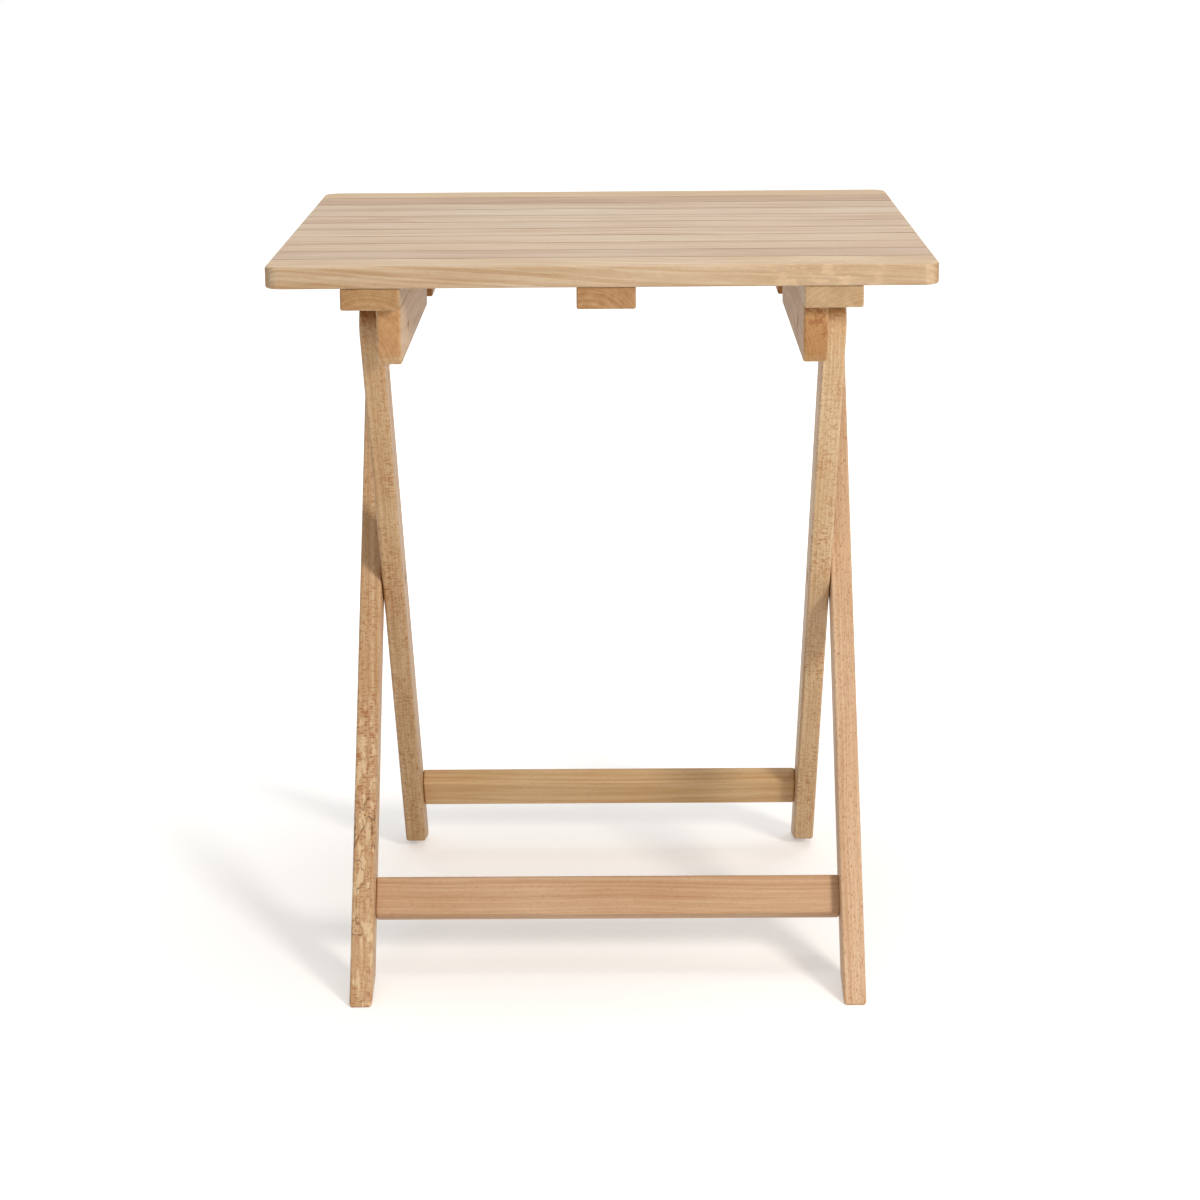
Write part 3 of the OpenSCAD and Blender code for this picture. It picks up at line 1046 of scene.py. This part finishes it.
    def screws(self) -> bpy.types.Object:
        """Sets the slat screws in the battens' undersides.

        Returns:
            The finished piece.
        """
        low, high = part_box("slat_screws")
        batten_low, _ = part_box("batten_middle")
        head = self.screw_shank * self.screw_head
        rows = [(lo.y + hi.y) / 2 for lo, hi in map(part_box, self.nodes())]
        middle = sum(c.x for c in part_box("batten_middle")) / 2
        columns = (low.x + head, middle, high.x - head)
        depth = head - self.screw_shank
        points = bpy.data.meshes.new("slat_screws_set")
        height = batten_low.z + 0.05 * MM
        points.from_pydata([(x, y, height) for x in columns for y in rows], [], [])
        piece = new_piece("slat_screws_set", points)
        cross_screw_tree().run_on(
            piece,
            {
                "Head radius": head,
                "Shank radius": self.screw_shank,
                "Head depth": depth,
                "Shank length": high.z - low.z - depth - 1 * MM,
                "Slot width": self.cross_width,
                "Slot depth": depth * 0.7,
                "Material": self.joiner.finishes.steel,
            },
        )
        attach(piece, self.body)
        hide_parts("slat_screws")
        return piece


@dataclass
class LegFrames:
    """The two leg frames, their stretchers, the crossbar and the dowels that join them."""

    joiner: Joiner
    boards: tuple[Board, ...] = (
        Board(
            "inner_leg_left", "inner_frame", Run.UP_INNER, "C9A97A", 31, Figure.RIPPLED,
            arris=2.8 * MM, heart=(0.05, 0.03),
        ),
        Board(
            "inner_leg_right", "inner_frame", Run.UP_INNER, "D9BD92", 32, Figure.RIPPLED,
            arris=2.8 * MM, heart=(0.05, 0.02),
        ),
        Board(
            "rear_stretcher", "inner_frame", Run.LEFT_RIGHT, "DEBC87", 33, Figure.STREAKED,
            arris=2.4 * MM, heart=(0.04, 0.06),
        ),
        Board(
            "outer_leg_left", "outer_frame", Run.UP_OUTER, "D2AF82", 34, Figure.SPALTED,
            arris=2.8 * MM, heart=(0.03, 0.04), runout=0.01, rot=(-0.28, 0.2),
        ),
        Board(
            "outer_leg_right", "outer_frame", Run.UP_OUTER, "D7B48E", 35, Figure.FLECKED,
            arris=2.8 * MM, heart=(0.05, 0.03),
        ),
        Board(
            "front_stretcher", "outer_frame", Run.LEFT_RIGHT, "CCA47A", 36, Figure.PLAIN,
            arris=2.4 * MM, heart=(0.02, 0.06),
        ),
        Board(
            "crossbar", "outer_frame", Run.LEFT_RIGHT, "C4A071", 37, Figure.PLAIN,
            arris=2.4 * MM, heart=(0.03, 0.05),
        ),
    )
    dowels: tuple[Board, ...] = (
        Board("rear_stretcher_dowels", "inner_frame", Run.LEFT_RIGHT, "C8A277", 41, slot="dowels"),
        Board("front_stretcher_dowels", "outer_frame", Run.LEFT_RIGHT, "C8A277", 42, slot="dowels"),
        Board("crossbar_dowels", "outer_frame", Run.LEFT_RIGHT, "C8A277", 43, slot="dowels"),
    )

    def build(self) -> list[bpy.types.Object]:
        """Builds the legs, stretchers and crossbar.

        Returns:
            The pieces.
        """
        legs = [self.joiner.make(board) for board in self.boards]
        return legs + [self.dowel_set(dowel) for dowel in self.dowels]

    def dowel_set(self, board: Board) -> bpy.types.Object:
        """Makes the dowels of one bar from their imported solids.

        Args:
            board: The dowels' node and wood.

        Returns:
            The finished piece.
        """
        piece = new_piece(board.node + "_set", merged_copy(board.node))
        mesh = piece.data
        self.joiner.timber.write(mesh, np.arange(len(mesh.polygons)), board)
        dress(piece, self.joiner.finishes.beech)
        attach(piece, board.body)
        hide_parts(board.node)
        return piece


@dataclass(frozen=True)
class Fastener:
    """A set of pivot fasteners: its node, its body, and whether its heads face outwards."""

    node: str
    body: str
    heads_out: bool


@dataclass
class Pivots:
    """The bolts, sleeve nuts and washers of the four pivots."""

    steel: bpy.types.Material
    socket_width: float = 4.0 * MM      # across the flats of the hexagon socket
    socket_depth: float = 1.8 * MM
    headed: tuple[Fastener, ...] = (
        Fastener("top_pivot_bolts", "table_top", False),
        Fastener("top_pivot_nuts", "inner_frame", True),
        Fastener("cross_pivot_bolts", "inner_frame", False),
        Fastener("cross_pivot_nuts", "outer_frame", True),
    )
    washers: tuple[Fastener, ...] = (
        Fastener("top_pivot_washers", "inner_frame", False),
        Fastener("cross_pivot_washers", "inner_frame", False),
    )

    def build(self) -> list[bpy.types.Object]:
        """Builds the pivots' pieces.

        Returns:
            The pieces.
        """
        pieces = []
        for fastener in self.headed + self.washers:
            piece = new_piece(fastener.node + "_set", merged_copy(fastener.node))
            if fastener in self.headed:
                self.cut_sockets(piece, fastener)
            dress(piece, self.steel)
            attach(piece, fastener.body)
            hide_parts(fastener.node)
            pieces.append(piece)
        return pieces

    def cut_sockets(self, piece: bpy.types.Object, fastener: Fastener) -> None:
        """Cuts a hexagon socket into each head of a set.

        Args:
            piece: The set, whose mesh is changed.
            fastener: Says which way the heads face.
        """
        low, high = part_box(fastener.node)
        spots = np.array([list(v.co) for v in piece.data.vertices])
        inner = np.abs(spots[:, 0]).min()
        face = high.x if fastener.heads_out else inner
        height, depth = (low.z + high.z) / 2, (low.y + high.y) / 2
        shape = bmesh.new()
        sideways = Matrix.Rotation(math.pi / 2, 4, "Y")
        for side in (-1, 1):
            place = Matrix.Translation((side * face, depth, height)) @ sideways
            bmesh.ops.create_cone(
                shape,
                cap_ends=True,
                segments=6,
                radius1=self.socket_width / math.sqrt(3),
                radius2=self.socket_width / math.sqrt(3),
                depth=2 * self.socket_depth,
                matrix=place,
            )
        bmesh.ops.recalc_face_normals(shape, faces=shape.faces)
        mesh = bpy.data.meshes.new("socket_cutter")
        shape.to_mesh(mesh)
        shape.free()
        cutter = new_piece("socket_cutter", mesh)
        cut = piece.modifiers.new("sockets", "BOOLEAN")
        cut.operation = "DIFFERENCE"
        cut.object = cutter
        cut.solver = "EXACT"
        apply_modifiers(piece)
        bpy.data.objects.remove(cutter)


@dataclass
class HiddenScrews:
    """Screws that no view shows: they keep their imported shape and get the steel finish."""

    steel: bpy.types.Material
    nodes: tuple[str, ...] = ("rail_screws", "block_screws")

    def build(self) -> list[bpy.types.Object]:
        """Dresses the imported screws.

        Returns:
            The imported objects.
        """
        found = [bpy.data.objects[n] for n in self.nodes]
        for screw in found:
            dress(screw, self.steel)
        return found


# ---------------------------------------------------------------- studio


@dataclass(frozen=True)
class AreaLamp:
    """A soft box: where it stands, what it points at, and how bright it is."""

    name: str
    spot: tuple[float, float, float]
    aim: tuple[float, float, float]
    size: float
    watts: float
    colour: str

    def place(self) -> bpy.types.Object:
        """Puts the lamp in the scene.

        Returns:
            The lamp's object.
        """
        data = bpy.data.lights.new(self.name, "AREA")
        data.shape = "SQUARE"
        data.size = self.size
        data.energy = self.watts
        data.color = linear(self.colour)[:3]
        lamp = bpy.data.objects.new(self.name, data)
        lamp.location = self.spot
        towards = Vector(self.aim) - Vector(self.spot)
        lamp.rotation_euler = towards.to_track_quat("-Z", "Y").to_euler()
        bpy.context.scene.collection.objects.link(lamp)
        return lamp


@dataclass(frozen=True)
class Studio:
    """A white sweep, soft lamps and the camera on its stand."""

    lens: float = 92.04
    camera_spot: tuple[float, float, float] = (0.01994, -3.00622, 1.07974)
    tilt_down: float = 13.80
    turn: float = -0.50
    roll: float = -0.47
    floor_size: float = 30.0
    floor_colour: str = "F6F5F3"
    sky_colour: str = "FFFFFF"
    backdrop_strength: float = 1.0
    sky_strength: float = 0.38
    floor_glow: float = 0.34        # the floor glows a little near the table
    sweep_glow: float = 0.80        # and turns into a white sweep behind it
    sweep_start: float = 0.4
    sweep_end: float = 1.7
    lamps: tuple[AreaLamp, ...] = (
        AreaLamp("key", (1.8, -3.2, 1.9), (0, 0, 0.45), 0.65, 84, "FFF8F0"),
        AreaLamp("overhead", (0.2, -0.2, 3.2), (0, 0, 0.7), 2.0, 44, "FFFFFF"),
    )

    def build(self) -> None:
        """Sets up the floor, the sky, the lamps and the camera."""
        self.floor()
        self.sky()
        for lamp in self.lamps:
            lamp.place()
        self.camera()
        bpy.context.scene.view_settings.view_transform = "Standard"

    def floor(self) -> None:
        """Lays a plain pale floor."""
        shape = bmesh.new()
        bmesh.ops.create_grid(shape, x_segments=4, y_segments=4, size=self.floor_size / 2)
        mesh = bpy.data.meshes.new("studio_floor")
        shape.to_mesh(mesh)
        shape.free()
        floor = new_piece("studio_floor", mesh)
        paint = bpy.data.materials.new("floor_paint")
        paint.use_nodes = True
        tree = paint.node_tree
        shader = tree.nodes["Principled BSDF"]
        shader.inputs["Base Color"].default_value = linear(self.floor_colour)
        shader.inputs["Roughness"].default_value = 0.9
        shader.inputs["Specular IOR Level"].default_value = 0.1
        place = add_node(tree, "ShaderNodeTexCoord").outputs["Object"]
        far = add_node(tree, "ShaderNodeVectorMath", {"operation": "LENGTH"}, {0: place})
        glow = add_node(
            tree,
            "ShaderNodeMapRange",
            {"interpolation_type": "SMOOTHSTEP"},
            {
                "Value": far.outputs["Value"],
                "From Min": self.sweep_start,
                "From Max": self.sweep_end,
                "To Min": self.floor_glow,
                "To Max": self.sweep_glow,
            },
        )
        soft = add_node(tree, "ShaderNodeLightPath").outputs["Is Diffuse Ray"]
        shown = math_node(tree, "SUBTRACT", 1.0, soft)
        glow = math_node(tree, "MULTIPLY", glow.outputs["Result"], shown)
        shader.inputs["Emission Color"].default_value = linear("FFFFFF")
        tree.links.new(glow, shader.inputs["Emission Strength"])
        mesh.materials.append(paint)

    def sky(self) -> None:
        """Surrounds the table with a white backdrop, which gives matt surfaces a softer light."""
        world = bpy.data.worlds.new("studio_sky")
        world.use_nodes = True
        tree = world.node_tree
        background = tree.nodes["Background"]
        background.inputs["Color"].default_value = linear(self.sky_colour)
        soft = add_node(tree, "ShaderNodeLightPath").outputs["Is Diffuse Ray"]
        change = self.sky_strength - self.backdrop_strength
        strength = math_node(tree, "MULTIPLY_ADD", soft, change, self.backdrop_strength)
        tree.links.new(strength, background.inputs["Strength"])
        bpy.context.scene.world = world

    def camera(self) -> None:
        """Sets the camera on its stand: in front, above the top, tilted down a little."""
        tilt, turn, roll = (math.radians(a) for a in (self.tilt_down, self.turn, self.roll))
        ahead = Vector(
            (math.sin(turn) * math.cos(tilt), math.cos(turn) * math.cos(tilt), -math.sin(tilt))
        )
        level = Vector((math.cos(turn), -math.sin(turn), 0))
        upright = level.cross(ahead)
        right = math.cos(roll) * level + math.sin(roll) * upright
        up = -math.sin(roll) * level + math.cos(roll) * upright
        data = bpy.data.cameras.new("camera")
        data.lens = self.lens
        data.sensor_width = 36.0
        data.clip_end = 100.0
        camera = bpy.data.objects.new("camera", data)
        turned = Matrix((right, up, -ahead)).transposed().to_4x4()
        camera.matrix_world = Matrix.Translation(self.camera_spot) @ turned
        bpy.context.scene.collection.objects.link(camera)
        bpy.context.scene.camera = camera


def leg_lean(frame: dict) -> float:
    """Works out how far the legs lean from the places of the two pivots.

    Args:
        frame: The loaded frame.

    Returns:
        The angle to the vertical, in radians.
    """
    spots = {j["name"]: j["pos_m"] for j in frame["joints"]}
    upper, cross = spots["top_tilt"], spots["leg_fold"]
    return math.atan2(cross[1] - upper[1], upper[2] - cross[2])


def main() -> None:
    """Builds the table's looks and the studio."""
    logging.basicConfig(level=logging.INFO, format="%(message)s")
    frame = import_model()
    finishes = Finishes()
    joiner = Joiner(Timber(leg_lean(frame)), finishes)
    for assembly in (
        TableTop(joiner),
        LegFrames(joiner),
        Pivots(finishes.steel),
        HiddenScrews(finishes.steel),
    ):
        for piece in assembly.build():
            faces = len(piece.data.polygons)
            LOG.info("%s: %s, %d faces", type(assembly).__name__, piece.name, faces)
    Studio().build()


if __name__ == "__main__":
    main()
